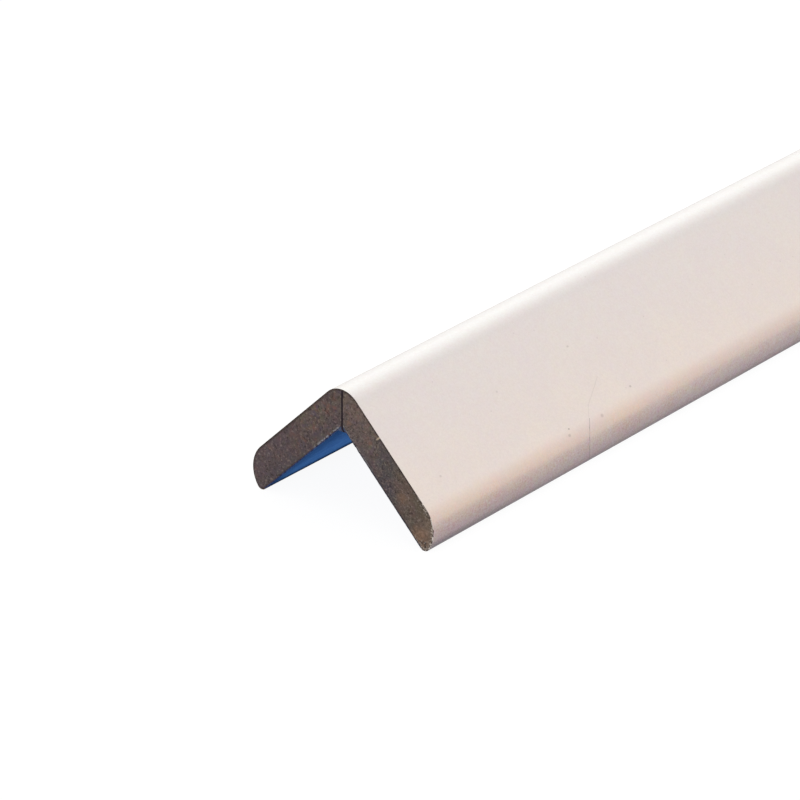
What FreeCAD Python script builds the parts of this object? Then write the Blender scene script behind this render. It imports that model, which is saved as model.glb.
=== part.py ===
"""Corner guard moulding: two mitred fibreboard strips under one wrapped decorative foil.

Units are millimetres. X runs along the stock, Z is up, and the floor is z = 0. The moulding
lies as it does on a bench: ridge up, both legs sloping down at 45 degrees to their free edges.

Each profile is drawn in a leg's own plane. Its origin is the outer corner of the section,
drawn sharp. The first sketch axis runs down the leg, and depth is measured against the second.
"""
import FreeCAD, Part
import Sketcher
import math
import os

SIZES = {
    "stock_length": 2400.0,
    "leg_width": 30.0,
    "board_thickness": 5.5,
    "foil_thickness": 0.2,
    "backing_thickness": 0.2,
    "ridge_radius": 4.0,
    "arris_radius": 0.8,
    "glue_thickness": 0.35,
    "bead_width": 1.2,
}

# Places in a leg's plane, worked out from the sizes
BOARD_BACK = "(Sizes.foil_thickness + Sizes.board_thickness)"
INNER_FACE = f"({BOARD_BACK} + Sizes.backing_thickness)"
RIDGE_CENTRE = "(Sizes.foil_thickness + Sizes.ridge_radius)"
EDGE_CENTRE = "(Sizes.leg_width - Sizes.foil_thickness - Sizes.board_thickness)"
ARRIS_REACH = "sqrt(Sizes.board_thickness * (Sizes.board_thickness - 2 * Sizes.arris_radius))"
ARRIS_ANGLE = "asin(Sizes.arris_radius / (Sizes.board_thickness - Sizes.arris_radius))"
ARRIS_DEPTH = f"({BOARD_BACK} - Sizes.arris_radius)"
ARRIS_SKIN = "(Sizes.arris_radius + Sizes.foil_thickness)"
FLAT_END = f"({EDGE_CENTRE} + {ARRIS_REACH})"
GLUE_OFFSET = "(Sizes.glue_thickness / sqrt(2))"
RIDGE_HEIGHT = f"((Sizes.leg_width + {ARRIS_REACH} - Sizes.arris_radius) / sqrt(2) + {ARRIS_SKIN})"

# Directions in a leg's plane, in degrees from the direction down the leg
OUTWARD_ANGLE = 90
INWARD_ANGLE = -90
TO_CORNER_ANGLE = 135
FROM_CORNER_ANGLE = -45
TILT_ANGLE = -45
MITRE_ANGLE = f"({TO_CORNER_ANGLE} - asin(Sizes.glue_thickness / 2 / Sizes.ridge_radius) / 1deg)"

# Sketch points of an edge, and the sketch's own origin
START = 1
END = 2
CENTRE = 3
SKETCH_ORIGIN = (-1, 1)


def make_sheet(doc):
    """The driving sizes, in millimetres. Every sketch and pad below reads them by name."""
    sheet = doc.addObject("Spreadsheet::Sheet", "Sizes")
    for row, (name, value) in enumerate(SIZES.items(), start=1):
        sheet.set(f"A{row}", name)
        sheet.set(f"B{row}", str(value))
        sheet.setAlias(f"B{row}", name)
    doc.recompute()


class Profile:
    """A closed sketch whose edges are drawn from solved places, then held by constraints."""

    def __init__(self, body, name):
        self.sketch = body.newObject("Sketcher::SketchObject", name)
        planes = [part for part in body.Origin.OriginFeatures if part.Role == "YZ_Plane"]
        self.sketch.AttachmentSupport = (planes[0], "")
        self.sketch.MapMode = "FlatFace"

    def value(self, expression):
        result = self.sketch.evalExpression(expression)
        return float(getattr(result, "Value", result))

    def place(self, along, depth):
        """A point of the leg's plane, from its distance down the leg and its depth."""
        return FreeCAD.Vector(self.value(along), -self.value(depth), 0)

    def line(self, start, end, construction=False):
        return self.sketch.addGeometry(Part.LineSegment(start, end), construction)

    def arc(self, centre, radius, first, last):
        """An arc that runs anticlockwise, in degrees from the direction down the leg."""
        circle = Part.Circle(centre, FreeCAD.Vector(0, 0, 1), self.value(radius))
        edge = Part.ArcOfCircle(circle, math.radians(first), math.radians(last))
        return self.sketch.addGeometry(edge)

    def hold(self, kind, *where):
        return self.sketch.addConstraint(Sketcher.Constraint(kind, *where))

    def bind(self, kind, *where, to):
        """A dimension that takes its value from the sheet."""
        first_value = self.value(to)
        if kind == "Angle":
            first_value = math.radians(first_value)
        number = self.hold(kind, *where, first_value)
        self.sketch.setExpression(f"Constraints[{number}]", to)

    def bind_place(self, edge, end, along=None, depth=None):
        """Holds a point at its distance down the leg, at its depth, or at both."""
        if along:
            self.bind("DistanceX", *SKETCH_ORIGIN, edge, end, to=along)
        if depth:
            self.bind("DistanceY", edge, end, *SKETCH_ORIGIN, to=depth)

    def mirror_line(self, length):
        """The joint plane seen on edge: a construction line at 45 degrees from the corner."""
        corner = FreeCAD.Vector(0, 0, 0)
        line = self.line(corner, self.place(length, length), construction=True)
        self.hold("Coincident", line, START, *SKETCH_ORIGIN)
        self.bind_place(line, END, along=length, depth=length)


def make_body(doc, name, turned=False):
    """A body in a leg's plane, tilted down to the left, or turned round to the right."""
    body = doc.addObject("PartDesign::Body", name)
    body.Label = name
    tilt = FreeCAD.Rotation(FreeCAD.Vector(1, 0, 0), TILT_ANGLE)
    turn = FreeCAD.Rotation(FreeCAD.Vector(0, 0, 1), 180 if turned else 0)
    body.Placement = FreeCAD.Placement(FreeCAD.Vector(0, 0, 0), turn.multiply(tilt))
    body.setExpression(".Placement.Base.z", RIDGE_HEIGHT)
    return body


def extrude(body, profile, name):
    pad = body.newObject("PartDesign::Pad", name)
    pad.Profile = profile.sketch
    pad.Midplane = True
    pad.setExpression("Length", "Sizes.stock_length")
    return pad


def mirror(body, profile, pad, name):
    """The other leg's half of a piece that runs across the ridge."""
    twin = body.newObject("PartDesign::Mirrored", name)
    twin.Originals = [pad]
    twin.MirrorPlane = (profile.sketch, ["Axis0"])
    twin.Refine = True
    body.Tip = twin


def make_leg(doc, name, turned):
    """Fibreboard strip: mitre at the ridge, quarter-round free edge, small inner arris."""
    body = make_body(doc, name, turned=turned)
    profile = Profile(body, f"{name}_section")
    ridge_centre = profile.place(RIDGE_CENTRE, RIDGE_CENTRE)
    edge_centre = profile.place(EDGE_CENTRE, BOARD_BACK)
    arris_angle = profile.value(ARRIS_ANGLE)
    mitre_inner = profile.place(f"{BOARD_BACK} + {GLUE_OFFSET}", BOARD_BACK)
    arris_centre = profile.place(FLAT_END, ARRIS_DEPTH)

    # The mitre face lies half a glue thickness from the joint plane
    ridge = profile.arc(ridge_centre, "Sizes.ridge_radius", OUTWARD_ANGLE, profile.value(MITRE_ANGLE))
    mitre_outer = profile.sketch.Geometry[ridge].EndPoint
    mitre = profile.line(mitre_outer, mitre_inner)
    inner = profile.line(mitre_inner, profile.place(FLAT_END, BOARD_BACK))
    arris = profile.arc(arris_centre, "Sizes.arris_radius", INWARD_ANGLE, arris_angle)
    edge = profile.arc(edge_centre, "Sizes.board_thickness", arris_angle, OUTWARD_ANGLE)
    face_start = profile.place(RIDGE_CENTRE, "Sizes.foil_thickness")
    outer = profile.line(profile.place(EDGE_CENTRE, "Sizes.foil_thickness"), face_start)

    profile.hold("Coincident", ridge, END, mitre, START)
    profile.hold("Coincident", mitre, END, inner, START)
    profile.hold("Tangent", inner, END, arris, START)
    profile.hold("Tangent", arris, END, edge, START)
    profile.hold("Tangent", edge, END, outer, START)
    profile.hold("Tangent", outer, END, ridge, START)
    profile.hold("Horizontal", inner)
    profile.hold("Horizontal", outer)
    profile.bind("Radius", ridge, to="Sizes.ridge_radius")
    profile.bind("Radius", edge, to="Sizes.board_thickness")
    profile.bind("Radius", arris, to="Sizes.arris_radius")
    profile.bind_place(ridge, CENTRE, along=RIDGE_CENTRE)
    profile.bind_place(edge, CENTRE, along=EDGE_CENTRE)
    profile.bind_place(outer, START, depth="Sizes.foil_thickness")
    profile.bind_place(inner, START, along=f"{BOARD_BACK} + {GLUE_OFFSET}", depth=BOARD_BACK)
    profile.bind("Angle", mitre, to=str(FROM_CORNER_ANGLE))
    extrude(body, profile, f"{name}_strip")
    return body


def make_foil(doc):
    """Decorative foil: one skin over the ridge, round both free edges and up to the backing."""
    body = make_body(doc, "face_foil")
    profile = Profile(body, "foil_section")
    profile.mirror_line("Sizes.leg_width")
    ridge_centre = profile.place(RIDGE_CENTRE, RIDGE_CENTRE)
    edge_centre = profile.place(EDGE_CENTRE, BOARD_BACK)
    arris_centre = profile.place(FLAT_END, ARRIS_DEPTH)
    arris_angle = profile.value(ARRIS_ANGLE)
    outer_edge_radius = BOARD_BACK

    ridge_out = profile.arc(ridge_centre, RIDGE_CENTRE, OUTWARD_ANGLE, TO_CORNER_ANGLE)
    face_out = profile.line(profile.place(RIDGE_CENTRE, "0"), profile.place(EDGE_CENTRE, "0"))
    edge_out = profile.arc(edge_centre, outer_edge_radius, arris_angle, OUTWARD_ANGLE)
    arris_out = profile.arc(arris_centre, ARRIS_SKIN, INWARD_ANGLE, arris_angle)
    arris_in = profile.arc(arris_centre, "Sizes.arris_radius", INWARD_ANGLE, arris_angle)
    edge_in = profile.arc(edge_centre, "Sizes.board_thickness", arris_angle, OUTWARD_ANGLE)
    face_in = profile.line(
        profile.place(EDGE_CENTRE, "Sizes.foil_thickness"),
        profile.place(RIDGE_CENTRE, "Sizes.foil_thickness"),
    )
    ridge_in = profile.arc(ridge_centre, "Sizes.ridge_radius", OUTWARD_ANGLE, TO_CORNER_ANGLE)
    drawn = profile.sketch.Geometry
    free_end = profile.line(drawn[arris_out].StartPoint, drawn[arris_in].StartPoint)
    joint = profile.line(drawn[ridge_in].EndPoint, drawn[ridge_out].EndPoint)

    profile.hold("Tangent", ridge_out, START, face_out, START)
    profile.hold("Tangent", face_out, END, edge_out, END)
    profile.hold("Tangent", edge_out, START, arris_out, END)
    profile.hold("Coincident", arris_out, START, free_end, START)
    profile.hold("Coincident", free_end, END, arris_in, START)
    profile.hold("Tangent", arris_in, END, edge_in, START)
    profile.hold("Tangent", edge_in, END, face_in, START)
    profile.hold("Tangent", face_in, END, ridge_in, START)
    profile.hold("Coincident", ridge_in, END, joint, START)
    profile.hold("Coincident", joint, END, ridge_out, END)
    for outer, inner in ((ridge_out, ridge_in), (edge_out, edge_in), (arris_out, arris_in)):
        profile.hold("Coincident", outer, CENTRE, inner, CENTRE)
    profile.hold("Horizontal", face_out)
    profile.hold("Vertical", free_end)
    profile.hold("PointOnObject", arris_in, CENTRE, free_end)
    profile.hold("PointOnObject", ridge_in, CENTRE, joint)
    profile.bind("Radius", ridge_in, to="Sizes.ridge_radius")
    profile.bind("Radius", ridge_out, to=RIDGE_CENTRE)
    profile.bind("Radius", edge_in, to="Sizes.board_thickness")
    profile.bind("Radius", edge_out, to=outer_edge_radius)
    profile.bind("Radius", arris_in, to="Sizes.arris_radius")
    profile.bind_place(ridge_in, CENTRE, along=RIDGE_CENTRE, depth=RIDGE_CENTRE)
    profile.bind_place(edge_in, CENTRE, along=EDGE_CENTRE)
    profile.bind_place(arris_in, CENTRE, depth=ARRIS_DEPTH)
    profile.bind("Angle", joint, to=str(TO_CORNER_ANGLE))
    half = extrude(body, profile, "foil_half")
    mirror(body, profile, half, "foil_both_halves")
    return body


def make_backing(doc, name, turned):
    """Thin blue sheet on the inner face, from the glue bead to the edge of the foil."""
    body = make_body(doc, name, turned=turned)
    profile = Profile(body, f"{name}_section")
    near_end = f"{INNER_FACE} + Sizes.bead_width"
    corners = [
        profile.place(near_end, BOARD_BACK),
        profile.place(near_end, INNER_FACE),
        profile.place(FLAT_END, INNER_FACE),
        profile.place(FLAT_END, BOARD_BACK),
    ]
    sides = []
    for start, end in zip(corners, corners[1:] + corners[:1]):
        sides.append(profile.line(start, end))
    for side, following in zip(sides, sides[1:] + sides[:1]):
        profile.hold("Coincident", side, END, following, START)
    for side, direction in zip(sides, ["Vertical", "Horizontal"] * 2):
        profile.hold(direction, side)
    profile.bind_place(sides[0], START, along=near_end, depth=BOARD_BACK)
    profile.bind_place(sides[2], START, along=FLAT_END, depth=INNER_FACE)
    extrude(body, profile, f"{name}_sheet")
    return body


def make_glue_line(doc):
    """Glue between the mitre faces, from the foil to a bead between the backing edges."""
    body = make_body(doc, "glue_line")
    profile = Profile(body, "glue_section")
    profile.mirror_line("Sizes.leg_width")
    bead_end = f"{INNER_FACE} + Sizes.bead_width"
    bead_middle = f"{INNER_FACE} + Sizes.bead_width / 2"
    mitre_start = f"{BOARD_BACK} + {GLUE_OFFSET}"
    ridge_centre = profile.place(RIDGE_CENTRE, RIDGE_CENTRE)

    mitre_angle = profile.value(MITRE_ANGLE)
    top = profile.arc(ridge_centre, "Sizes.ridge_radius", mitre_angle, TO_CORNER_ANGLE)
    drawn = profile.sketch.Geometry
    corners = [
        drawn[top].StartPoint,
        profile.place(mitre_start, BOARD_BACK),
        profile.place(bead_end, BOARD_BACK),
        profile.place(bead_end, INNER_FACE),
        profile.place(bead_middle, bead_middle),
        drawn[top].EndPoint,
    ]
    sides = []
    for start, end in zip(corners, corners[1:]):
        sides.append(profile.line(start, end))
    for side, following in zip(sides, sides[1:]):
        profile.hold("Coincident", side, END, following, START)
    mitre, board, backing_edge, bead, joint = sides
    profile.hold("Coincident", top, START, mitre, START)
    profile.hold("Coincident", joint, END, top, END)
    profile.hold("Horizontal", board)
    profile.hold("Vertical", backing_edge)
    profile.bind("Radius", top, to="Sizes.ridge_radius")
    profile.bind_place(top, CENTRE, along=RIDGE_CENTRE, depth=RIDGE_CENTRE)
    profile.bind_place(board, START, along=mitre_start, depth=BOARD_BACK)
    profile.bind_place(bead, START, along=bead_end, depth=INNER_FACE)
    profile.bind_place(bead, END, along=bead_middle, depth=bead_middle)
    profile.bind("Angle", mitre, to=str(FROM_CORNER_ANGLE))
    profile.bind("Angle", joint, to=str(TO_CORNER_ANGLE))
    half = extrude(body, profile, "glue_half")
    mirror(body, profile, half, "glue_both_halves")
    return body


def check(doc, bodies):
    """Stops before anything is written if a feature failed or a piece isn't one solid."""
    for item in doc.Objects:
        if {"Invalid", "Error"} & set(item.State):
            raise RuntimeError(f"{item.Name} failed: {item.State}")
    for body in bodies:
        if body.Shape.isNull() or not body.Shape.isValid() or len(body.Shape.Solids) != 1:
            raise RuntimeError(f"{body.Label} is not one valid solid")


def main():
    doc = FreeCAD.newDocument("CornerGuardMoulding")
    make_sheet(doc)
    bodies = [
        make_leg(doc, "left_leg", turned=False),
        make_leg(doc, "right_leg", turned=True),
        make_foil(doc),
        make_backing(doc, "left_backing", turned=False),
        make_backing(doc, "right_backing", turned=True),
        make_glue_line(doc),
    ]
    doc.recompute()
    check(doc, bodies)
    os.makedirs("parts", exist_ok=True)
    for body in bodies:
        body.Shape.exportStep(f"parts/{body.Label}.step")
        box = body.Shape.BoundBox
        print(f"{body.Label}: {body.Shape.Volume / 1000:.3f} cm3, z {box.ZMin:.3f} to {box.ZMax:.3f}")


main()
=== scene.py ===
"""Corner guard moulding: the looks of every surface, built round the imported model.

Lengths are metres. X runs along the stock, and the near cut end is at the lowest X. A place in
the section is given in a leg's own plane: along, the distance down the leg from the sharp outer
corner, and depth, the distance inward from the outer face. Side 1 is the left leg, -1 the right.
"""
import math

import bpy
import bmesh
import numpy as np
from mathutils import Matrix, Vector


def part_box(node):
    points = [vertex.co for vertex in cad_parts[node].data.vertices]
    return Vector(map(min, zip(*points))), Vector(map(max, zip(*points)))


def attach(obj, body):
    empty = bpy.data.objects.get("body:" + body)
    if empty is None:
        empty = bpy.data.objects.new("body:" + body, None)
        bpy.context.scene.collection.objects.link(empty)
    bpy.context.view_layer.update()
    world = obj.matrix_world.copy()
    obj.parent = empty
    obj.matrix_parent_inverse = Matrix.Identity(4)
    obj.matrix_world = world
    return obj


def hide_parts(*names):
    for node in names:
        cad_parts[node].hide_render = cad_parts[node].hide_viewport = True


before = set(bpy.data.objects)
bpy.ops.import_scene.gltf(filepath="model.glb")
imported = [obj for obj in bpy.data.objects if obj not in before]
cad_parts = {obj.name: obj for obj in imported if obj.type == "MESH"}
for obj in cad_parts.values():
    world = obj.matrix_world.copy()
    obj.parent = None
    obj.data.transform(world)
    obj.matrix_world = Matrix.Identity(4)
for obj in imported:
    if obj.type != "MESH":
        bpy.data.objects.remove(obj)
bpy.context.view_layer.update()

MM = 0.001
LEFT = 1
RIGHT = -1

# Driving dimensions of the section
LEG_WIDTH = 30.0 * MM
BOARD = 5.5 * MM
FOIL = 0.2 * MM
BACKING = 0.2 * MM
RIDGE_RADIUS = 4.0 * MM
ARRIS_RADIUS = 0.8 * MM
GLUE = 0.35 * MM
BEAD = 1.2 * MM

# Places worked out from them
BOARD_BACK = FOIL + BOARD
INNER_FACE = BOARD_BACK + BACKING
RIDGE_CENTRE = FOIL + RIDGE_RADIUS
EDGE_CENTRE = LEG_WIDTH - BOARD_BACK
ARRIS_REACH = math.sqrt(BOARD * (BOARD - 2 * ARRIS_RADIUS))
ARRIS_ANGLE = math.asin(ARRIS_RADIUS / (BOARD - ARRIS_RADIUS))
FLAT_END = EDGE_CENTRE + ARRIS_REACH
ARRIS_CENTRE = (FLAT_END, BOARD_BACK - ARRIS_RADIUS)
RIDGE_HEIGHT = (LEG_WIDTH + ARRIS_REACH - ARRIS_RADIUS) / math.sqrt(2) + ARRIS_RADIUS + FOIL
NEAR_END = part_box("left_leg")[0].x
FAR_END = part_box("left_leg")[1].x

# Directions in a leg's section, turned outward from the direction down the leg
INWARD = math.radians(-90)
OUTWARD = math.radians(90)
UPWARD = math.radians(135)

# Points on the section's small arcs, and on its round free edges
ARC_POINTS = 40
EDGE_POINTS = 80

# The screen value up to which the sRGB curve is a straight line
SRGB_KNEE = 0.04045


def colour(red, green, blue):
    """A linear colour from the usual 0 to 255 screen values, by the sRGB curve."""
    values = []
    for level in (red, green, blue):
        share = level / 255
        if share <= SRGB_KNEE:
            values.append(share / 12.92)
        else:
            values.append(((share + 0.055) / 1.055) ** 2.4)
    return (*values, 1.0)


# Section and mesh helpers

def arc(centre, radius, first, last, count):
    """Points (along, depth) of an arc from one direction to another."""
    angles = np.linspace(first, last, count)
    along = centre[0] + radius * np.cos(angles)
    depth = centre[1] - radius * np.sin(angles)
    return np.stack([along, depth], axis=1)


def resample(path, count):
    """The same path with its points at even distances."""
    steps = np.linalg.norm(np.diff(path, axis=0), axis=1)
    travelled = np.concatenate([[0], np.cumsum(steps)])
    places = np.linspace(0, travelled[-1], count)
    return np.stack([np.interp(places, travelled, path[:, k]) for k in range(2)], axis=1)


def to_row(x, along, depth, side):
    """Row coordinates of places in a leg's plane."""
    y = side * (along - depth) / math.sqrt(2)
    z = RIDGE_HEIGHT - (along + depth) / math.sqrt(2)
    return np.stack(np.broadcast_arrays(x, y, z), axis=-1)


NOISE_LAYERS = 3


def smooth_noise(places, cell, seed):
    """Even noise from -1 to 1 at places on a line or plane, with grains of about one cell."""
    places = np.atleast_2d(np.asarray(places, float))
    total = np.zeros(len(places))
    weight_sum = 0.0
    for layer in range(NOISE_LAYERS):
        weight = 0.5 ** layer
        scaled = places * 2 ** layer / cell
        low = np.floor(scaled).astype(int)
        part = scaled - low
        part = part * part * (3 - 2 * part)
        low = low - low.min(axis=0)
        table = np.random.default_rng(seed + layer).uniform(-1, 1, tuple(low.max(axis=0) + 2))
        if places.shape[1] == 1:
            value = table[low[:, 0]] * (1 - part[:, 0]) + table[low[:, 0] + 1] * part[:, 0]
        else:
            row, column = low[:, 0], low[:, 1]
            near = table[row, column] * (1 - part[:, 1]) + table[row, column + 1] * part[:, 1]
            far = table[row + 1, column] * (1 - part[:, 1]) + table[row + 1, column + 1] * part[:, 1]
            value = near * (1 - part[:, 0]) + far * part[:, 0]
        total += weight * value
        weight_sum += weight
    return total / weight_sum


# Faces show a sharp edge where they meet at more than CREASE, and points within WELD are made one
CREASE = math.radians(40)
WELD = 0.0002 * MM
# The mesh layer that says how far a place on a cut end is from its rim, in millimetres
RIM_LAYER = "rim_distance"


def new_piece(name, points, faces, face_slots, materials, rim_distance=None):
    """A mesh piece that rides on the part, smooth except along its creases."""
    mesh = bpy.data.meshes.new(name)
    mesh.from_pydata(points.tolist(), [], faces)
    if rim_distance is not None:
        layer = mesh.attributes.new(RIM_LAYER, "FLOAT", "POINT")
        layer.data.foreach_set("value", np.asarray(rim_distance, dtype=np.float32))
    for material in materials:
        mesh.materials.append(material)
    mesh.polygons.foreach_set("material_index", np.asarray(face_slots, dtype=np.int32))
    mesh.polygons.foreach_set("use_smooth", np.ones(len(faces), dtype=bool))
    work = bmesh.new()
    work.from_mesh(mesh)
    bmesh.ops.remove_doubles(work, verts=work.verts, dist=WELD)
    bmesh.ops.recalc_face_normals(work, faces=work.faces)
    for edge in work.edges:
        edge.smooth = edge.calc_face_angle(0) < CREASE
    work.to_mesh(mesh)
    work.free()
    piece = bpy.data.objects.new(name, mesh)
    bpy.context.scene.collection.objects.link(piece)
    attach(piece, "root")
    return piece


def loft(rings):
    """Quads between closed rings of points, which are an array of stations by ring points."""
    stations, around = rings.shape[:2]
    faces = []
    for station in range(stations - 1):
        start = station * around
        for k in range(around):
            following = (k + 1) % around
            faces.append((start + k, start + following, start + around + following, start + around + k))
    return faces


# Fibreboard strips

SECTION_STEPS = 240
THICKNESS_STEPS = 44
FIBRE_PIT_DEPTH = 0.07 * MM
FIBRE_PIT_SIZE = 0.45 * MM
WALL_STATIONS = (0.25 * MM, 0.8 * MM)
BOARD_SEEDS = {LEFT: 11, RIGHT: 23}
BOARD_FAR_SEED_STEP = 100


def board_outer_path(count):
    """The face side of the board's section, from the mitre over the ridge round to the arris."""
    mitre = UPWARD - math.asin(GLUE / 2 / RIDGE_RADIUS)
    ridge = arc((RIDGE_CENTRE, RIDGE_CENTRE), RIDGE_RADIUS, mitre, OUTWARD, ARC_POINTS)
    edge = arc((EDGE_CENTRE, BOARD_BACK), BOARD, OUTWARD, ARRIS_ANGLE, EDGE_POINTS)
    return resample(np.concatenate([ridge, edge]), count)


def board_inner_path(count):
    """The wall side of the board's section, from the mitre to the arris."""
    mitre = np.array([[BOARD_BACK + GLUE / math.sqrt(2), BOARD_BACK]])
    arris = arc(ARRIS_CENTRE, ARRIS_RADIUS, INWARD, ARRIS_ANGLE, ARC_POINTS)
    return resample(np.concatenate([mitre, arris]), count)


def make_board(name, side, material):
    """One strip, with the fuzzy relief of a saw cut on both of its ends."""
    outer = board_outer_path(SECTION_STEPS + 1)
    inner = board_inner_path(SECTION_STEPS + 1)
    across = np.linspace(0, 1, THICKNESS_STEPS + 1)
    section = outer[:, None, :] * (1 - across[None, :, None]) + inner[:, None, :] * across[None, :, None]
    flat_section = section.reshape(-1, 2)
    thickness = np.linalg.norm(outer - inner, axis=1)
    edge_distance = (np.minimum(across, 1 - across)[None, :] * thickness[:, None]).reshape(-1)

    def end_cap(x, toward_middle, seed):
        pits = smooth_noise(flat_section, FIBRE_PIT_SIZE, seed)
        depth = FIBRE_PIT_DEPTH * (0.5 + 0.5 * pits)
        return to_row(x + toward_middle * depth, flat_section[:, 0], flat_section[:, 1], side)

    near_cap = end_cap(NEAR_END, 1, BOARD_SEEDS[side])
    far_cap = end_cap(FAR_END, -1, BOARD_SEEDS[side] + BOARD_FAR_SEED_STEP)

    columns = THICKNESS_STEPS + 1
    index = np.arange(len(flat_section)).reshape(SECTION_STEPS + 1, columns)
    loop = list(index[:, 0]) + list(index[::-1, -1]) + list(index[0, -2:0:-1])
    wall_xs = [NEAR_END + step for step in WALL_STATIONS]
    wall_xs += [FAR_END - step for step in reversed(WALL_STATIONS)]
    rings = [near_cap[loop]]
    for x in wall_xs:
        rings.append(to_row(x, flat_section[loop, 0], flat_section[loop, 1], side))
    rings.append(far_cap[loop])
    walls = np.array(rings)

    faces = []
    for first in (0, len(near_cap)):
        for row in range(SECTION_STEPS):
            for column in range(THICKNESS_STEPS):
                corner = first + index[row, column]
                faces.append((corner, corner + 1, corner + columns + 1, corner + columns))
    wall_start = 2 * len(near_cap)
    for quad in loft(walls):
        faces.append(tuple(wall_start + k for k in quad))
    points = np.concatenate([near_cap, far_cap, walls.reshape(-1, 3)])
    faces = [tuple(int(k) for k in face) for face in faces]
    rim_distance = np.concatenate([edge_distance, edge_distance, np.zeros(walls.size // 3)]) / MM
    return new_piece(name, points, faces, [0] * len(faces), [material], rim_distance)


# Skins of foil and backing

FRAY_SIZE = 0.3 * MM
# Where the backing and the glue have further rings of points, from each end
THIN_STATIONS = (0.5 * MM, 2 * MM)


def fray(places, depth, seed):
    """How far an uneven cut edge stops short at each place along it."""
    return depth * (0.5 + 0.5 * smooth_noise(np.asarray(places)[:, None], FRAY_SIZE, seed))


def make_skin(name, front, back, near_edge, far_edge, stations, materials):
    """A thin sheet between two paths of as many row (y, z) points, with its own cut edges.

    near_edge and far_edge say how far each point of the paths stops short of the ends, and
    stations how far from each end the sheet has further rings of points. The second material is
    the cut edges'.
    """
    ring_section = np.concatenate([front, back[::-1]])
    near_short = np.concatenate([near_edge, near_edge[::-1]])
    far_short = np.concatenate([far_edge, far_edge[::-1]])
    rings = []
    xs = [(NEAR_END, near_short)]
    xs += [(NEAR_END + step, None) for step in stations]
    xs += [(FAR_END - step, None) for step in reversed(stations)]
    xs += [(FAR_END, -far_short)]
    for x, short in xs:
        place = np.full(len(ring_section), x) if short is None else x + short
        rings.append(np.column_stack([place, ring_section]))
    rings = np.array(rings)
    faces = loft(rings)
    slots = [0] * len(faces)
    around = len(ring_section)
    count = len(front)
    for first in (0, (len(rings) - 1) * around):
        for k in range(count - 1):
            other = around - 1 - k
            faces.append((first + k, first + k + 1, first + other - 1, first + other))
            slots.append(1)
    return new_piece(name, rings.reshape(-1, 3), faces, slots, materials)


FOIL_STEPS = 330
FOIL_STATIONS = (0.7 * MM, 1.5 * MM, 4 * MM, 12 * MM)
EDGE_FRAY = 0.03 * MM
# Chips in the right free edge: their depth, how far round the foil from the ridge they start and
# are full, their size and how distinct they are
CHIP_DEPTH = 0.09 * MM
CHIP_START = 24.0 * MM
CHIP_FULL = 26.0 * MM
CHIP_SIZE = 0.5 * MM
CHIP_CONTRAST = 1.3
FOIL_NEAR_SEED = 5
FOIL_FAR_SEED = 6
CHIP_SEED = 8


def foil_half_path(offset):
    """From the free end over the face to the middle of the ridge, at offset from the board."""
    arris = arc(ARRIS_CENTRE, ARRIS_RADIUS + offset, INWARD, ARRIS_ANGLE, ARC_POINTS)
    edge = arc((EDGE_CENTRE, BOARD_BACK), BOARD + offset, ARRIS_ANGLE, OUTWARD, EDGE_POINTS)
    ridge = arc((RIDGE_CENTRE, RIDGE_CENTRE), RIDGE_RADIUS + offset, OUTWARD, UPWARD, ARC_POINTS)
    return np.concatenate([arris, edge[1:], ridge])


def foil_path(offset):
    """Row (y, z) points from the left free end over the ridge to the right free end."""
    half = resample(foil_half_path(offset), FOIL_STEPS)
    left = to_row(0.0, half[:, 0], half[:, 1], LEFT)[:, 1:]
    right = to_row(0.0, half[::-1, 0], half[::-1, 1], RIGHT)[:, 1:]
    return np.concatenate([left, right[1:]])


def make_foil(materials):
    """The wrapped skin. Its cut edge is slightly frayed, and chipped at the right free edge."""
    front = foil_path(FOIL)
    back = foil_path(0.0)
    steps = np.linalg.norm(np.diff(front, axis=0), axis=1)
    travelled = np.concatenate([[0], np.cumsum(steps)])
    near = fray(travelled, EDGE_FRAY, FOIL_NEAR_SEED)
    far = fray(travelled, EDGE_FRAY, FOIL_FAR_SEED)
    from_ridge = travelled - travelled[-1] / 2
    reach = np.clip((from_ridge - CHIP_START) / (CHIP_FULL - CHIP_START), 0, 1)
    chips = smooth_noise(travelled[:, None], CHIP_SIZE, CHIP_SEED)
    chips = np.clip(chips * CHIP_CONTRAST + 0.5, 0, 1)
    near = near + CHIP_DEPTH * reach * chips
    return make_skin("wrapped_foil", front, back, near, far, FOIL_STATIONS, materials)


BACKING_STEPS = 200
BACKING_FRAY = 0.06 * MM
# The further fray beside the glue bead, and how far down the leg it ends
CORNER_FRAY = 0.18 * MM
CORNER_FRAY_END = 14 * MM
BACKING_SEEDS = {LEFT: 31, RIGHT: 37}
BACKING_FAR_SEED_STEP = 4


def make_backing(name, side, materials):
    """The sheet on one inner face, torn a little more where it meets the glue bead."""
    along = np.linspace(INNER_FACE + BEAD, FLAT_END, BACKING_STEPS)
    front = to_row(0.0, along, INNER_FACE, side)[:, 1:]
    back = to_row(0.0, along, BOARD_BACK, side)[:, 1:]
    torn = np.clip((CORNER_FRAY_END - along) / (CORNER_FRAY_END - INNER_FACE), 0, 1)
    near = fray(along, BACKING_FRAY + CORNER_FRAY * torn, BACKING_SEEDS[side])
    far = fray(along, BACKING_FRAY, BACKING_SEEDS[side] + BACKING_FAR_SEED_STEP)
    return make_skin(name, front, back, near, far, THIN_STATIONS, materials)


# Glue joint

GLUE_STEPS = 60
GLUE_RECESS = 0.12 * MM
GLUE_STEP = 0.1 * MM
GLUE_TOP_GAP = 0.01 * MM
GLUE_NEAR_SEED = 41
GLUE_FAR_SEED = 43
# The bead's middle is given from both sides, each this far off it
BEAD_MIDDLE_GAP = 0.0001 * MM


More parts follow.
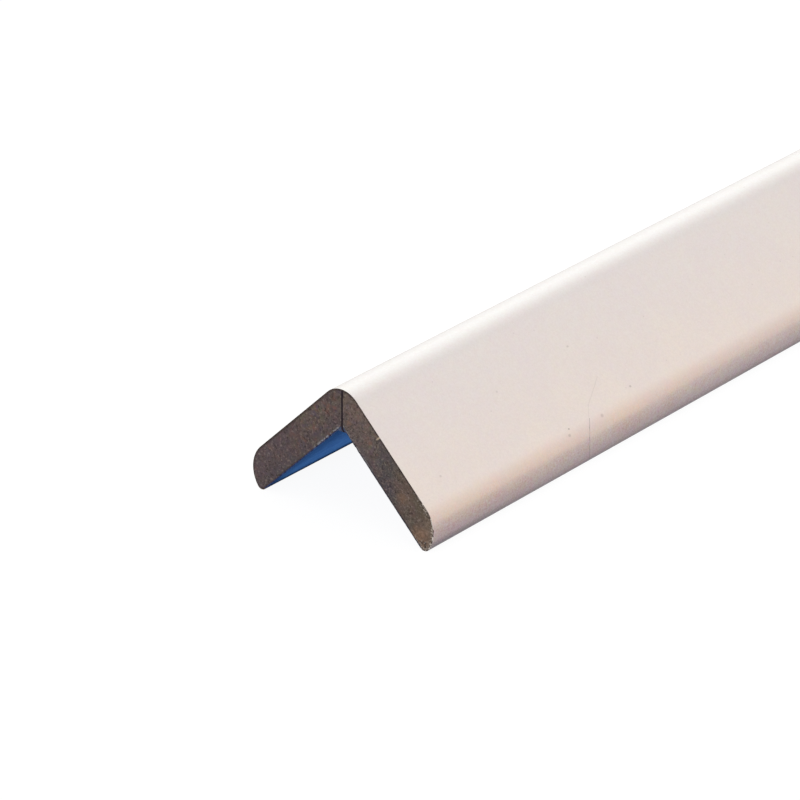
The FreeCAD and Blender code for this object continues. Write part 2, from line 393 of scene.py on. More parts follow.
def make_glue(materials):
    """The filled joint between the strips, and the bead that closes the inner corner."""
    top = RIDGE_HEIGHT - RIDGE_CENTRE * math.sqrt(2) + RIDGE_RADIUS
    stem_end = RIDGE_HEIGHT - BOARD_BACK * math.sqrt(2) - GLUE / 2
    bead_side = to_row(0.0, INNER_FACE + BEAD, BOARD_BACK, RIGHT)
    bead_face = to_row(0.0, INNER_FACE + BEAD, INNER_FACE, RIGHT)
    bead_middle = to_row(0.0, INNER_FACE + BEAD / 2, INNER_FACE + BEAD / 2, RIGHT)
    heights = np.linspace(top - GLUE_TOP_GAP, stem_end, GLUE_STEPS)
    stem = np.column_stack([np.full(GLUE_STEPS, GLUE / 2), heights])
    foot = np.array([[-bead_side[1], bead_side[2]], [-bead_face[1], bead_face[2]]])
    middle = np.array([[BEAD_MIDDLE_GAP, bead_middle[2]]])
    front = np.concatenate([stem, foot, middle])
    back = front * np.array([-1, 1])
    places = np.arange(len(front)) * GLUE_STEP
    near = fray(places, GLUE_RECESS, GLUE_NEAR_SEED)
    far = fray(places, GLUE_RECESS, GLUE_FAR_SEED)
    return make_skin("glue_joint", front, back, near, far, THIN_STATIONS, materials)


# Materials

# Places of the colour sockets of a Mix node
COLOUR_A = 6
COLOUR_B = 7
COLOUR_OUT = 2
# Round marks are drawn round a short line of this length along the stock
MARK_LENGTH = 0.1 * MM


class Shading:
    """Short ways to add and link the nodes of one material. Its places are in millimetres.

    A mask is a value from 0 to 1 that says how much of a tone shows.
    """

    def __init__(self, name, roughness, specular):
        self.material = bpy.data.materials.new(name)
        self.material.use_nodes = True
        self.tree = self.material.node_tree
        self.shader = self.tree.nodes["Principled BSDF"]
        self.shader.inputs["Roughness"].default_value = roughness
        self.shader.inputs["Specular IOR Level"].default_value = specular
        place = self.add("ShaderNodeTexCoord").outputs["Object"]
        self.place = self.vector("MULTIPLY", place, (1 / MM,) * 3)
        split = self.add("ShaderNodeSeparateXYZ")
        self.feed(split.inputs[0], self.place)
        self.x, self.y, self.z = split.outputs

    def add(self, kind, **settings):
        node = self.tree.nodes.new(kind)
        for name, value in settings.items():
            setattr(node, name, value)
        return node

    def feed(self, socket, value):
        """Links a node's output to a socket, or sets the socket to a plain value."""
        if isinstance(value, bpy.types.NodeSocket):
            self.tree.links.new(value, socket)
        else:
            socket.default_value = value

    def vector(self, operation, first, second):
        node = self.add("ShaderNodeVectorMath", operation=operation)
        self.feed(node.inputs[0], first)
        self.feed(node.inputs[1], second)
        return node.outputs[0]

    def math(self, operation, first, second=0.0):
        node = self.add("ShaderNodeMath", operation=operation)
        self.feed(node.inputs[0], first)
        self.feed(node.inputs[1], second)
        return node.outputs[0]

    def both(self, first, second):
        """The mask of where two masks overlap."""
        return self.math("MULTIPLY", first, second)

    def ramp(self, value, limits, first=0.0, last=1.0):
        """Goes smoothly from first to last while the value goes from one limit to the other."""
        node = self.add("ShaderNodeMapRange", interpolation_type="SMOOTHSTEP")
        self.feed(node.inputs["Value"], value)
        node.inputs["From Min"].default_value = limits[0]
        node.inputs["From Max"].default_value = limits[1]
        node.inputs["To Min"].default_value = first
        node.inputs["To Max"].default_value = last
        return node.outputs["Result"]

    def mix(self, mask, base, tone, blend="MIX"):
        node = self.add("ShaderNodeMix", data_type="RGBA", blend_type=blend)
        self.feed(node.inputs["Factor"], mask)
        self.feed(node.inputs[COLOUR_A], base)
        self.feed(node.inputs[COLOUR_B], tone)
        return node.outputs[COLOUR_OUT]

    def noise(self, per_mm, seed, detail=3.0, roughness=0.55, output="Fac", place=None):
        """Even noise round 0.5, with so many grains a millimetre."""
        node = self.add("ShaderNodeTexNoise", noise_dimensions="4D")
        self.feed(node.inputs["Vector"], self.place if place is None else place)
        node.inputs["W"].default_value = seed
        node.inputs["Scale"].default_value = per_mm
        node.inputs["Detail"].default_value = detail
        node.inputs["Roughness"].default_value = roughness
        return node.outputs[output]

    def mottle(self, base, share, per_mm, seed, output="Fac"):
        """The same colour, made lighter and darker by noise. "Color" does so channel by channel."""
        tints = self.noise(per_mm, seed, detail=2.0, output=output)
        return self.mix(share, base, tints, blend="OVERLAY")

    def patches(self, base, tone, per_mm, seed, levels, share=1.0, detail=2.0, where=None):
        """Adds a tone in patches, which grow while the noise goes from one level to the other."""
        mask = self.ramp(self.noise(per_mm, seed, detail=detail), levels, 0.0, share)
        if where is not None:
            mask = self.both(mask, where)
        return self.mix(mask, base, tone)

    def to_line(self, start, end):
        """Distance in millimetres to the straight line between two places of the row."""
        run = (Vector(end) - Vector(start)) / MM
        from_start = self.vector("SUBTRACT", self.place, Vector(start) / MM)
        dot = self.add("ShaderNodeVectorMath", operation="DOT_PRODUCT")
        self.feed(dot.inputs[0], from_start)
        dot.inputs[1].default_value = run / run.length_squared
        share = self.add("ShaderNodeClamp")
        self.feed(share.inputs["Value"], dot.outputs["Value"])
        nearest = self.add("ShaderNodeVectorMath", operation="SCALE")
        nearest.inputs[0].default_value = run
        self.feed(nearest.inputs["Scale"], share.outputs[0])
        gap = self.add("ShaderNodeVectorMath", operation="DISTANCE")
        self.feed(gap.inputs[0], from_start)
        self.feed(gap.inputs[1], nearest.outputs[0])
        return gap.outputs["Value"]

    def line(self, base, tone, places, widths, share=1.0):
        """Adds a line through places of the row, which fades between two distances from it."""
        for start, end in zip(places, places[1:]):
            base = self.mix(self.ramp(self.to_line(start, end), widths, share, 0.0), base, tone)
        return base

    def to_mark(self, centre):
        """Distance in millimetres to a round mark's centre."""
        return self.to_line(centre, centre + Vector((MARK_LENGTH, 0, 0)))

    def nick(self, base):
        """Adds the pale nick that crosses the rim of the right board's near end."""
        return self.line(base, TONE_NICK, NICK, NICK_WIDTHS, NICK_SHARE)

    def beside_joint(self, limits):
        """1 near the joint between the legs, falling to 0 between two distances from it."""
        return self.ramp(self.math("ABSOLUTE", self.y), limits, 1.0, 0.0)

    def depth(self):
        """Distance in millimetres inward from the outer face of either leg."""
        below_ridge = self.math("SUBTRACT", RIDGE_HEIGHT / MM, self.z)
        across = self.math("SUBTRACT", below_ridge, self.math("ABSOLUTE", self.y))
        return self.math("MULTIPLY", across, math.sqrt(0.5))

    def down_right_leg(self):
        """Distance in millimetres down the right leg from the sharp outer corner."""
        return self.math("SUBTRACT", self.depth(), self.math("MULTIPLY", self.y, math.sqrt(2)))

    def bump(self, height, depth, strength):
        node = self.add("ShaderNodeBump")
        node.inputs["Strength"].default_value = strength
        node.inputs["Distance"].default_value = depth
        self.feed(node.inputs["Height"], height)
        self.feed(self.shader.inputs["Normal"], node.outputs["Normal"])

    def finish(self, base):
        self.feed(self.shader.inputs["Base Color"], base)
        return self.material


def face_place(from_end, along, depth=0.0):
    """Row place on the right leg, from its distance from the near end and place in the section."""
    return Vector(to_row(NEAR_END + from_end, along, depth, RIGHT).tolist())


def cut_place(y, z):
    """Row place on the near cut end, from millimetres across and up."""
    return Vector((NEAR_END, y * MM, z * MM))


# Fibreboard

TONE_MAIN = colour(99, 86, 81)
TONE_DEEP = colour(82, 70, 68)
TONE_RUST = colour(112, 82, 74)
TONE_MOSS = colour(92, 88, 72)
TONE_PLUM = colour(88, 75, 86)
TONE_PALE = colour(132, 118, 110)
TONE_DARK = colour(54, 45, 43)
TONE_SAND = colour(112, 97, 88)
TONE_SLATE = colour(74, 68, 72)
TONE_OAK = colour(95, 80, 69)
TONE_TORN = colour(134, 132, 136)
TONE_NICK = colour(172, 154, 134)
TONE_OLIVE = colour(88, 77, 61)
TONE_HEART = colour(134, 102, 80)
TONE_TIP = colour(122, 103, 90)
TONE_CHIP = colour(140, 133, 126)
TONE_FLAKE = colour(172, 160, 148)

# Clumps of other browns: tone, grains a millimetre, seed, noise levels and share
CLUMPS = [
    (TONE_RUST, 0.8, 5.0, (0.5, 0.66), 0.75),
    (TONE_MOSS, 0.75, 9.0, (0.52, 0.68), 0.7),
    (TONE_PLUM, 0.8, 14.0, (0.52, 0.68), 0.7),
]
# Tones that come in across a board: tone, the y where it starts and is full, and share
LEFT_TINTS = [
    (TONE_DEEP, (7.5, 10.5), 0.35),
    (TONE_PLUM, (8.0, 14.0), 0.35),
]
RIGHT_TINTS = [
    (TONE_SAND, (-6.5, -4.5), 0.3),
    (TONE_SLATE, (-6.6, -8.2), 0.75),
    (TONE_OAK, (-9.8, -12.0), 0.75),
]
# Limits of the darker wall side: its depth, and the y over which it weakens toward the right tip
WALL_SIDE_DEPTHS = (2.8, 5.2)
WALL_SIDE_ACROSS = (-10.0, -12.5)
DARK_RIM = (0.0, 0.36)
# The fibres torn out at the inner corner: how near to the wall side, and to the joint
TORN_DEPTHS = (BOARD_BACK / MM - 0.35, BOARD_BACK / MM - 0.14)
TORN_BESIDE_JOINT = (4.0, 7.5)

NICK = [face_place(0.0, 11.0 * MM, -0.05 * MM), face_place(0.0, 10.95 * MM, 0.85 * MM)]
NICK_WIDTHS = (0.05, 0.22)
NICK_SHARE = 0.95

# Browner patches in the right board's near end: centre, radius and share
BROWN_PATCHES = [
    (cut_place(-16.1, 2.3), 2.6, 0.5),
    (cut_place(-12.5, 7.8), 1.5, 0.4),
    (cut_place(-1.4, 17.8), 0.9, 0.45),
]
# How far their outline wanders, in millimetres in all
RAGGED = 2.4

# Limits of the wear toward the right tip: across the row, down the leg, from the cut's rim, and up
WEAR_ACROSS = (-13.0, -16.0)
FLAKES_ACROSS = (-15.6, -16.8)
MOTTLE_DOWN_LEG = (23.0, 26.0)
PALER_DOWN_LEG = (24.8, 27.6)
OLIVE_FROM_RIM = (1.0, 2.4)
SPECKLE_FROM_RIM = (0.3, 1.3)
FLAKES_FROM_RIM = (0.55, 0.3)
SPECKLE_HEIGHTS = (2.4, 1.2)
SPECKLE_LEVELS = (0.52, 0.62)


def worn_tip(look, base, rim):
    """The right board toward its free edge: olive at the rim, paler below, and scuffed.

    The scuffs are a speckle of pale and dark fibre ends, and pale flakes on the rim itself. rim
    is the distance in millimetres from the cut's rim.
    """
    toward_tip = look.ramp(look.y, WEAR_ACROSS)
    down_leg = look.down_right_leg()
    band = look.both(toward_tip, look.ramp(rim, OLIVE_FROM_RIM, 0.4, 0.0))
    base = look.mix(band, base, TONE_OLIVE)
    base = look.mix(look.ramp(down_leg, PALER_DOWN_LEG, 0.0, 0.55), base, TONE_TIP)
    ragged = look.math("MULTIPLY", look.noise(1.8, 61.0), RAGGED)
    ragged = look.math("SUBTRACT", ragged, RAGGED / 2)
    for centre, radius, share in BROWN_PATCHES:
        gap = look.math("ADD", look.to_mark(centre), ragged)
        base = look.mix(look.ramp(gap, (0.0, radius), share, 0.0), base, TONE_HEART)
    base = look.mottle(base, look.ramp(down_leg, MOTTLE_DOWN_LEG, 0.0, 0.7), 2.2, 87.0)
    near_rim = look.ramp(rim, SPECKLE_FROM_RIM, 0.5, 0.0)
    worn = look.both(toward_tip, look.math("MAXIMUM", near_rim, look.ramp(look.z, SPECKLE_HEIGHTS)))
    for tone, seed in ((TONE_CHIP, 33.0), (TONE_DARK, 39.0)):
        base = look.patches(base, tone, 3.0, seed, SPECKLE_LEVELS, detail=1, where=worn)
    on_rim = look.both(look.ramp(look.y, FLAKES_ACROSS), look.ramp(rim, FLAKES_FROM_RIM))
    return look.patches(base, TONE_FLAKE, 3.2, 83.0, SPECKLE_LEVELS, detail=1, where=on_rim)


def fibreboard_material(name, tints, torn_share, fine_share):
    """Dense brown fibreboard: matted fibre clumps of many browns, darker at the cut's rim.

    torn_share is how strongly pale torn fibres show beside the inner corner, and fine_share how
    strongly single pale fibre ends show all over.
    """
    look = Shading(name, roughness=0.9, specular=0.12)
    base = look.patches(TONE_DEEP, TONE_MAIN, 1.5, 1.0, (0.36, 0.64))
    for tone, per_mm, seed, levels, share in CLUMPS:
        base = look.patches(base, tone, per_mm, seed, levels, share)
    for tone, limits, share in tints:
        base = look.mix(look.ramp(look.y, limits, 0.0, share), base, tone)
    wall_share = look.ramp(look.y, WALL_SIDE_ACROSS, 0.5, 0.2)
    wall_side = look.both(look.ramp(look.depth(), WALL_SIDE_DEPTHS), wall_share)
    base = look.mix(wall_side, base, TONE_SLATE)
    base = look.patches(base, TONE_PALE, 2.2, 21.0, (0.53, 0.7), 0.6)
    base = look.patches(base, TONE_PALE, 4.5, 51.0, (0.5, 0.68), fine_share)
    grain = look.noise(2.2, 27.0, detail=4, roughness=0.62)
    base = look.mix(look.ramp(grain, (0.49, 0.33), 0.0, 0.8), base, TONE_DARK)
    rim = look.add("ShaderNodeAttribute", attribute_name=RIM_LAYER).outputs["Fac"]
    base = look.mix(look.ramp(rim, DARK_RIM, 0.6, 0.0), base, TONE_DARK)
    base = look.mottle(base, 0.16, 0.7, 75.0, "Color")
    base = worn_tip(look, base, rim)
    corner = look.both(look.ramp(look.depth(), TORN_DEPTHS), look.beside_joint(TORN_BESIDE_JOINT))
    base = look.patches(base, TONE_TORN, 1.5, 12.0, (0.44, 0.56), torn_share, detail=3, where=corner)
    look.bump(grain, 0.05 * MM, 0.5)
    return look.finish(look.nick(base))


# Foil

# Its tones by height in millimetres: whitest on the ridge as a painted highlight, warmest where it turns
# under as painted bounce light, and darker below that as painted shade
TONE_CROWN_HIGHLIGHT = colour(230, 229, 226)
CROWN_HEIGHT = 23.3
FOIL_TONES_AND_PAINTED_LIGHT = [
    (22.4, colour(231, 225, 221)),
    (20.5, colour(235, 225, 219)),
    (8.5, colour(240, 226, 215)),
    (5.7, colour(250, 221, 203)),
    (4.6, colour(228, 201, 190)),
    (2.3, colour(220, 192, 192)),
]
# The same on the outer sides, where it goes on round the free edges and turns grey: painted shade on the
# undersides
LIP_SHADE_TOP = 2.3
LIP_SHADE_TONES = [
    (1.5, colour(206, 181, 181)),
    (1.0, colour(186, 160, 162)),
    (0.6, colour(156, 138, 143)),
    (0.2, colour(136, 119, 125)),
]
# The distance from the middle of the row over which that painted shade comes in
LIP_SHADE_ACROSS = (16.9, 17.5)
# Painted shade: close to the near end and the floor the outer side is darker. Distances from the end,
# heights
TONE_NEAR_LIP_SHADE = colour(104, 86, 100)
NEAR_LIP_SHADE_LENGTHS = (30.0, 3.0)
NEAR_LIP_SHADE_HEIGHTS = (2.4, 0.6)
# Painted shade: the ridge's left slope turns a little greyer over these values of y, and so stays the
# left face
TONE_LEFT_FACE_SHADE = colour(206, 206, 200)
LEFT_SLOPE_SHADE = (1.3, 2.3)
# Faint broad blushes come in below the crown, over these heights
TONE_BLUSH = colour(233, 220, 219)
BELOW_CROWN = (22.9, 22.2)
TONE_GRAIN = colour(222, 208, 202)
# Heights over which the mottling grows toward the free edges
TOWARD_EDGE = (7.5, 4.5)
# The turn into the round free edges is patchy: heights it comes in and goes out at, tones, seeds
TURN_STARTS = (9.0, 6.5)
TURN_ENDS = (3.0, 5.5)
TURN_TONES = [(colour(238, 224, 200), 19.0), (colour(248, 214, 208), 23.0)]

TONE_SCUFF = colour(128, 108, 100)
# Dark specks on the right outer face, in millimetres: from the near end, down the leg, radius,
# and then the share. The core is the part of the radius that has the full share
SPECKS = [
    (37.1, 24.3, 0.2, 0.55),
    (55.0, 23.0, 0.28, 0.4),
    (36.5, 25.3, 0.4, 0.3),
    (45.5, 25.0, 0.45, 0.25),
    (6.6, 21.0, 0.28, 0.22),
    (47.6, 12.2, 0.28, 0.25),
    (27.8, 13.3, 0.28, 0.2),
]
SPECK_CORE = 0.3
# A hairline runs up round the right free edge and faintly on over the face. Its places are the
# distance from the near end, with how far the surface there is tilted from facing straight up,
# and then with the distance down the leg
EDGE_HAIRLINE = [(42.0, 135), (41.8, 120), (41.0, 105), (40.7, 90), (40.9, 75), (41.6, 60), (42.6, 46)]
FACE_HAIRLINE = [(42.6, 24.2), (44.1, 22.4), (48.2, 19.9), (49.7, 18.9)]
HAIRLINE_WIDTHS = (0.03, 0.11)
EDGE_HAIRLINE_SHARE = 0.48
FACE_HAIRLINE_SHARE = 0.13
# Dust lies in even cells, a speck in each. Its core is given in cells
DUST_PER_MM = 0.3
DUST_RADIUS = 0.22
DUST_CORE = 0.02
DUST_SHARE = 0.16


def edge_place(from_end, tilt):
    """Row place on the right free edge where the surface is tilted this far from facing up."""
    angle = UPWARD - math.radians(tilt)
    along, depth = arc((EDGE_CENTRE, BOARD_BACK), BOARD + FOIL, angle, angle, 1)[0]
    return face_place(from_end, along, depth)


def by_height(look, base, top, tones):
    """Goes down from tone to tone, from the base at the top height."""
    for height, tone in tones:
        base = look.mix(look.ramp(look.z, (top, height)), base, tone)
        top = height
    return base


def foil_tones_and_painted_light(look):
    """The cream foil's large tones, with its painted highlight and painted shade, without its marks."""
    # Painted highlight on the ridge, and painted bounce light and painted shade lower down, by height
    base = by_height(look, TONE_CROWN_HIGHLIGHT, CROWN_HEIGHT, FOIL_TONES_AND_PAINTED_LIGHT)
    below_crown = look.ramp(look.z, BELOW_CROWN)
    base = look.patches(base, TONE_BLUSH, 0.1, 17.0, (0.35, 0.65), 0.35, detail=1, where=below_crown)
    # Painted shade on the ridge's left slope
    base = look.mix(look.ramp(look.y, LEFT_SLOPE_SHADE, 0.0, 0.55), base, TONE_LEFT_FACE_SHADE)
    base = look.patches(base, TONE_GRAIN, 2.8, 2.0, (0.3, 0.7), 0.28)
    # Painted shade on the outer lips, darker still near the near end and the floor
    past_end = look.math("SUBTRACT", look.x, NEAR_END / MM)
    near_lip_shade = look.ramp(past_end, NEAR_LIP_SHADE_LENGTHS, 0.0, 0.7)
    near_lip_shade = look.both(near_lip_shade, look.ramp(look.z, NEAR_LIP_SHADE_HEIGHTS))
    lip_shade = look.mix(near_lip_shade, by_height(look, base, LIP_SHADE_TOP, LIP_SHADE_TONES), TONE_NEAR_LIP_SHADE)
    # Painted shade comes in on the outer sides
    base = look.mix(look.ramp(look.math("ABSOLUTE", look.y), LIP_SHADE_ACROSS), base, lip_shade)
    base = look.mottle(base, look.ramp(look.z, TOWARD_EDGE, 0.15, 0.8), 4.0, 71.0)
    base = look.mottle(base, look.ramp(look.z, TOWARD_EDGE, 0.1, 0.22), 0.8, 73.0, "Color")
    turn = look.both(look.ramp(look.z, TURN_STARTS), look.ramp(look.z, TURN_ENDS))
    for tone, seed in TURN_TONES:
        base = look.patches(base, tone, 0.3, seed, (0.5, 0.65), 0.22, where=turn)
    return base


def foil_material():
    """Smooth cream foil with a satin finish, a few dark specks, faint dust and one hairline, over its
    painted highlight and painted shade.
    """
    look = Shading("cream_foil", roughness=0.42, specular=0.42)
    base = foil_tones_and_painted_light(look)
    for from_end, along, radius, share in SPECKS:
        gap = look.to_mark(face_place(from_end * MM, along * MM))
        base = look.mix(look.ramp(gap, (SPECK_CORE * radius, radius), share, 0.0), base, TONE_SCUFF)
    dust = look.add("ShaderNodeTexVoronoi")
    look.feed(dust.inputs["Vector"], look.place)
    dust.inputs["Scale"].default_value = DUST_PER_MM
    widths = (DUST_CORE, DUST_RADIUS * DUST_PER_MM)
    faint = look.ramp(dust.outputs["Distance"], widths, DUST_SHARE, 0.0)
    base = look.mix(faint, base, TONE_SCUFF)
    round_edge = [edge_place(from_end * MM, tilt) for from_end, tilt in EDGE_HAIRLINE]
    base = look.line(base, TONE_SCUFF, round_edge, HAIRLINE_WIDTHS, EDGE_HAIRLINE_SHARE)
    over_face = [face_place(from_end * MM, along * MM) for from_end, along in FACE_HAIRLINE]
    base = look.line(base, TONE_SCUFF, over_face, HAIRLINE_WIDTHS, FACE_HAIRLINE_SHARE)
    look.bump(look.noise(2.2, 6.0), 0.02 * MM, 0.12)
    return look.finish(base)


# The y over which the broken bits come in
BROKEN_ACROSS = (-15.0, -17.0)


def foil_edge_material():
    """The cut edge of the foil, as brown as the board, with pale broken bits at the right tip."""
    look = Shading("foil_cut_edge", roughness=0.9, specular=0.1)
    base = look.patches(colour(56, 47, 44), colour(84, 71, 65), 2.6, 3.0, (0.38, 0.62), detail=3)
    at_tip = look.ramp(look.y, BROKEN_ACROSS)
    base = look.patches(base, colour(206, 196, 187), 1.6, 8.0, (0.42, 0.58), where=at_tip)
    return look.finish(look.nick(base))


# Backing and glue

# The streaks are noise in places squeezed along the stock
STREAK_SQUEEZE = (0.3, 1.0, 1.0)
TORN_BACKING_BESIDE_JOINT = (3.0, 6.5)


def backing_material():
    """Matt blue sheet with faint streaks along the stock."""
    look = Shading("blue_backing", roughness=1.0, specular=0.0)
    squeezed = look.vector("MULTIPLY", look.place, STREAK_SQUEEZE)
    streaks = look.ramp(look.noise(1.6, 4.0, place=squeezed), (0.35, 0.65))
    look.bump(look.noise(5.0, 7.0), 0.03 * MM, 0.3)
    return look.finish(look.mix(streaks, colour(55, 96, 154), colour(65, 109, 166)))


def backing_edge_material(name, dark, light):
    """The cut edge of the blue sheet, with a few pale fibres near the inner corner."""
    look = Shading(name, roughness=1.0, specular=0.0)
    base = look.patches(dark, light, 2.2, 5.0, (0.4, 0.6), detail=3)
    corner = look.beside_joint(TORN_BACKING_BESIDE_JOINT)
    base = look.patches(base, TONE_TORN, 1.5, 12.0, (0.54, 0.6), 0.7, detail=3, where=corner)
    return look.finish(base)


def glue_material():
    """Dark, dull glue, slightly lumpy."""
    look = Shading("dark_glue", roughness=0.85, specular=0.1)
    look.bump(look.noise(4.0, 9.0), 0.05 * MM, 0.5)
    base = look.patches(colour(30, 26, 34), colour(50, 48, 60), 1.8, 3.0, (0.35, 0.65), detail=3)
    return look.finish(base)


TONE_GLUE_LINE = colour(34, 27, 33)
# Heights over which the dark joint gives way to the paler bead
JOINT_FOOT = (16.35, 16.75)
# The dark run of glue that goes on from the joint through the bead
GLUE_RUN = [cut_place(0.0, 17.0), cut_place(-0.06, 16.3), cut_place(-0.38, 15.75)]
GLUE_RUN_WIDTHS = (0.12, 0.26)


def glue_edge_material():
    """The cut glue: a dark line between the boards, then a slate blue bead with a dark run."""
    look = Shading("glue_cut_edge", roughness=0.9, specular=0.1)
    base = look.patches(colour(58, 62, 84), colour(80, 92, 116), 2.6, 3.0, (0.38, 0.62), detail=3)
    base = look.mix(look.ramp(look.z, JOINT_FOOT), base, TONE_GLUE_LINE)
    return look.finish(look.line(base, TONE_GLUE_LINE, GLUE_RUN, GLUE_RUN_WIDTHS))


# Stage, light and camera

FLOOR_HALF = 8.0
FLOOR_LIGHT = (0.07, 0.075, 0.09, 1)
FLOOR_SHADOW = (0.1, 0.1, 0.1, 1)
FLOOR_GLOW = 0.93
WHITE = (1, 1, 1, 1)
WORLD_LIGHT = 0.93
BACKDROP_LIGHT = 1.0

# The lamps over the moulding: name, direction, distance, size and power
SOFTBOXES = [
    ("ridge_softbox", (0.70, 0.43, 0.57), 4.0, (2.8, 2.0), 37.0),
    ("end_fill", (-0.97, -0.10, 0.20), 3.0, (1.2, 0.8), 40.0),
]


def seen_directly(tree):
    """1 for camera, mirror and glass rays, and 0 for the rays that carry the light."""
    path = tree.nodes.new("ShaderNodeLightPath")
    seen = path.outputs["Is Camera Ray"]
    for kind in ("Is Glossy Ray", "Is Transmission Ray"):
        either = tree.nodes.new("ShaderNodeMath")
        either.operation = "MAXIMUM"
        tree.links.new(seen, either.inputs[0])
        tree.links.new(path.outputs[kind], either.inputs[1])
        seen = either.outputs[0]
    return seen


def make_floor():
    """A floor that shows white but for the moulding's soft shadow, and throws little light back."""
    mesh = bpy.data.meshes.new("floor")
    corners = [(-1, -1), (1, -1), (1, 1), (-1, 1)]
    mesh.from_pydata([(x * FLOOR_HALF, y * FLOOR_HALF, 0.0) for x, y in corners], [], [(0, 1, 2, 3)])
    floor = bpy.data.objects.new("floor", mesh)
    bpy.context.scene.collection.objects.link(floor)
    material = bpy.data.materials.new("pale_floor")
    material.use_nodes = True
    tree = material.node_tree
    tree.nodes.clear()
    matte = tree.nodes.new("ShaderNodeBsdfDiffuse")
    matte.inputs["Color"].default_value = FLOOR_LIGHT
    shadowed = tree.nodes.new("ShaderNodeBsdfDiffuse")
    shadowed.inputs["Color"].default_value = FLOOR_SHADOW
    glow = tree.nodes.new("ShaderNodeEmission")
    glow.inputs["Strength"].default_value = FLOOR_GLOW
    both = tree.nodes.new("ShaderNodeAddShader")
    tree.links.new(shadowed.outputs[0], both.inputs[0])
    tree.links.new(glow.outputs[0], both.inputs[1])
    share = tree.nodes.new("ShaderNodeMixShader")
    tree.links.new(seen_directly(tree), share.inputs[0])
    tree.links.new(matte.outputs[0], share.inputs[1])
    tree.links.new(both.outputs[0], share.inputs[2])
    output = tree.nodes.new("ShaderNodeOutputMaterial")
    tree.links.new(share.outputs[0], output.inputs["Surface"])
    mesh.materials.append(material)


def make_world():
    """An even sky for the light, and a white backdrop behind it for the camera."""
    world = bpy.data.worlds.new("studio")
    world.use_nodes = True
    tree = world.node_tree
    tree.nodes.clear()
    share = tree.nodes.new("ShaderNodeMixShader")
    tree.links.new(seen_directly(tree), share.inputs[0])
    for socket, strength in ((1, WORLD_LIGHT), (2, BACKDROP_LIGHT)):
        sky = tree.nodes.new("ShaderNodeBackground")
        sky.inputs["Color"].default_value = WHITE
        sky.inputs["Strength"].default_value = strength
        tree.links.new(sky.outputs[0], share.inputs[socket])
    output = tree.nodes.new("ShaderNodeOutputWorld")
    tree.links.new(share.outputs[0], output.inputs["Surface"])
    bpy.context.scene.world = world


def make_lamp(name, place, facing, size, power):
    """A rectangular lamp that the camera doesn't see, shining in the direction it faces."""
    data = bpy.data.lights.new(name, "AREA")
    data.shape = "RECTANGLE"
    data.size, data.size_y = size
    data.energy = power
    lamp = bpy.data.objects.new(name, data)
    lamp.location = place
    lamp.rotation_euler = (-facing).to_track_quat("Z", "Y").to_euler()
    lamp.visible_camera = False
    bpy.context.scene.collection.objects.link(lamp)


def make_softbox(name, direction, distance, size, power):
    """A large lamp that faces the ridge at the near end, from a distance in one direction."""
    toward = Vector(direction).normalized()
    place = Vector((NEAR_END, 0, RIDGE_HEIGHT)) + toward * distance
    make_lamp(name, place, -toward, size, power)


# A narrow card under the moulding's near end lights the blue inner faces from below
CARD_LENGTH = 160 * MM
CARD_WIDTH = 28 * MM
CARD_HEIGHT = 0.4 * MM
CARD_START = 1 * MM
CARD_POWER = 0.013


def make_under_card():
    """Adds the card, which shines straight up from close over the floor."""
    middle = NEAR_END + CARD_START + CARD_LENGTH / 2
    size = (CARD_LENGTH, CARD_WIDTH)
    make_lamp("under_card", Vector((middle, 0, CARD_HEIGHT)), Vector((0, 0, 1)), size, CARD_POWER)


# The photograph's view: its angles, its distance from the near end's sharp ridge corner, the
# focal length in pixels of the 800 pixel frame, and the place in it where that corner shows
VIEW_TURN = math.radians(50.805)
VIEW_RISE = math.radians(25.636)
VIEW_ROLL = math.radians(0.342)
VIEW_DISTANCE = 738.1 * MM
FOCAL_PIXELS = 4666.2
CORNER_PIXEL = (341.93, 379.62)
FRAME_PIXELS = 800
SENSOR = 36.0
CLIP_END = 50.0


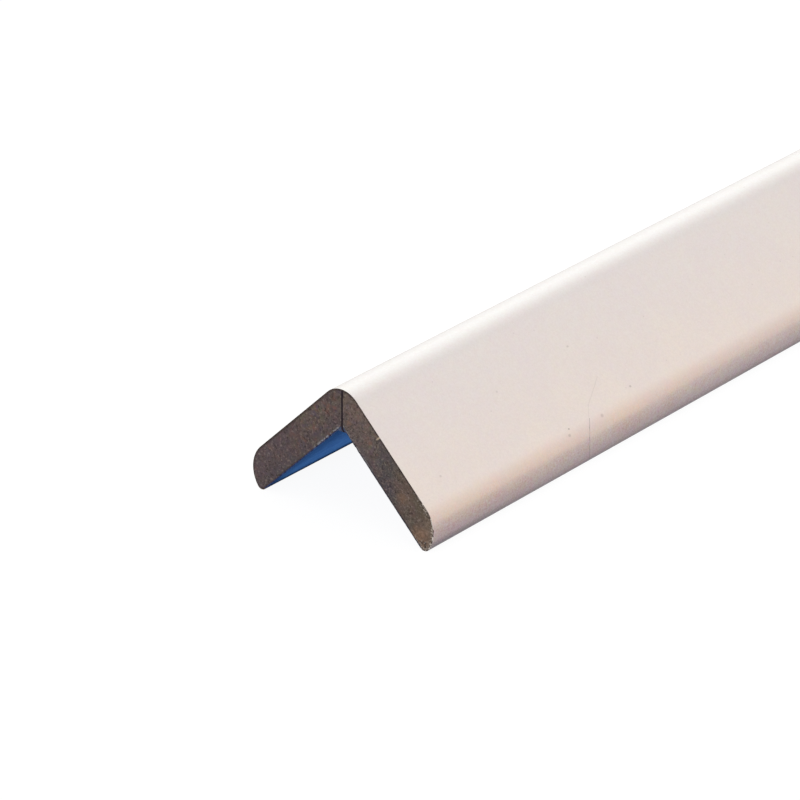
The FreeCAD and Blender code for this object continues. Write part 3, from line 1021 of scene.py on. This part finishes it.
def make_camera():
    """A camera that shows the corner at its pixel, from the photograph's direction."""
    back = Vector((
        -math.sin(VIEW_TURN) * math.cos(VIEW_RISE),
        -math.cos(VIEW_TURN) * math.cos(VIEW_RISE),
        math.sin(VIEW_RISE),
    ))
    level = Vector((math.cos(VIEW_TURN), -math.sin(VIEW_TURN), 0))
    upright = back.cross(level)
    right = level * math.cos(VIEW_ROLL) + upright * math.sin(VIEW_ROLL)
    up = upright * math.cos(VIEW_ROLL) - level * math.sin(VIEW_ROLL)
    corner = Vector((NEAR_END, 0, RIDGE_HEIGHT))
    metres_per_pixel = VIEW_DISTANCE / FOCAL_PIXELS
    across = (CORNER_PIXEL[0] - FRAME_PIXELS / 2) * metres_per_pixel
    above = (FRAME_PIXELS / 2 - CORNER_PIXEL[1]) * metres_per_pixel
    data = bpy.data.cameras.new("photo_camera")
    data.sensor_width = SENSOR
    data.lens = FOCAL_PIXELS * SENSOR / FRAME_PIXELS
    data.clip_end = CLIP_END
    camera = bpy.data.objects.new("photo_camera", data)
    place = corner - right * across - up * above + back * VIEW_DISTANCE
    turn = Matrix((right, up, back)).transposed().to_4x4()
    camera.matrix_world = Matrix.Translation(place) @ turn
    bpy.context.scene.collection.objects.link(camera)
    bpy.context.scene.camera = camera


def replace_node(node):
    """Hides the CAD node that a piece stands for."""
    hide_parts(node)


left_wood = fibreboard_material("fibreboard_left", LEFT_TINTS, torn_share=1.0, fine_share=0.1)
left_board = make_board("left_board", LEFT, left_wood)
replace_node("left_leg")
right_wood = fibreboard_material("fibreboard_right", RIGHT_TINTS, torn_share=0.6, fine_share=0.45)
right_board = make_board("right_board", RIGHT, right_wood)
replace_node("right_leg")
wrapped_foil = make_foil([foil_material(), foil_edge_material()])
replace_node("face_foil")
blue = backing_material()
# The left sheet's cut edge is dark navy: its own colour darkened as painted shade, the shadow line under
# the torn fibres
left_edge_shade = backing_edge_material("left_backing_edge_shade", colour(42, 46, 76), colour(58, 70, 108))
right_edge = backing_edge_material("right_backing_edge", colour(50, 47, 50), colour(68, 64, 68))
left_blue = make_backing("left_blue_backing", LEFT, [blue, left_edge_shade])
replace_node("left_backing")
right_blue = make_backing("right_blue_backing", RIGHT, [blue, right_edge])
replace_node("right_backing")
glue_joint = make_glue([glue_material(), glue_edge_material()])
replace_node("glue_line")

make_floor()
make_world()
for softbox in SOFTBOXES:
    make_softbox(*softbox)
make_under_card()
make_camera()
bpy.context.scene.view_settings.view_transform = "Standard"
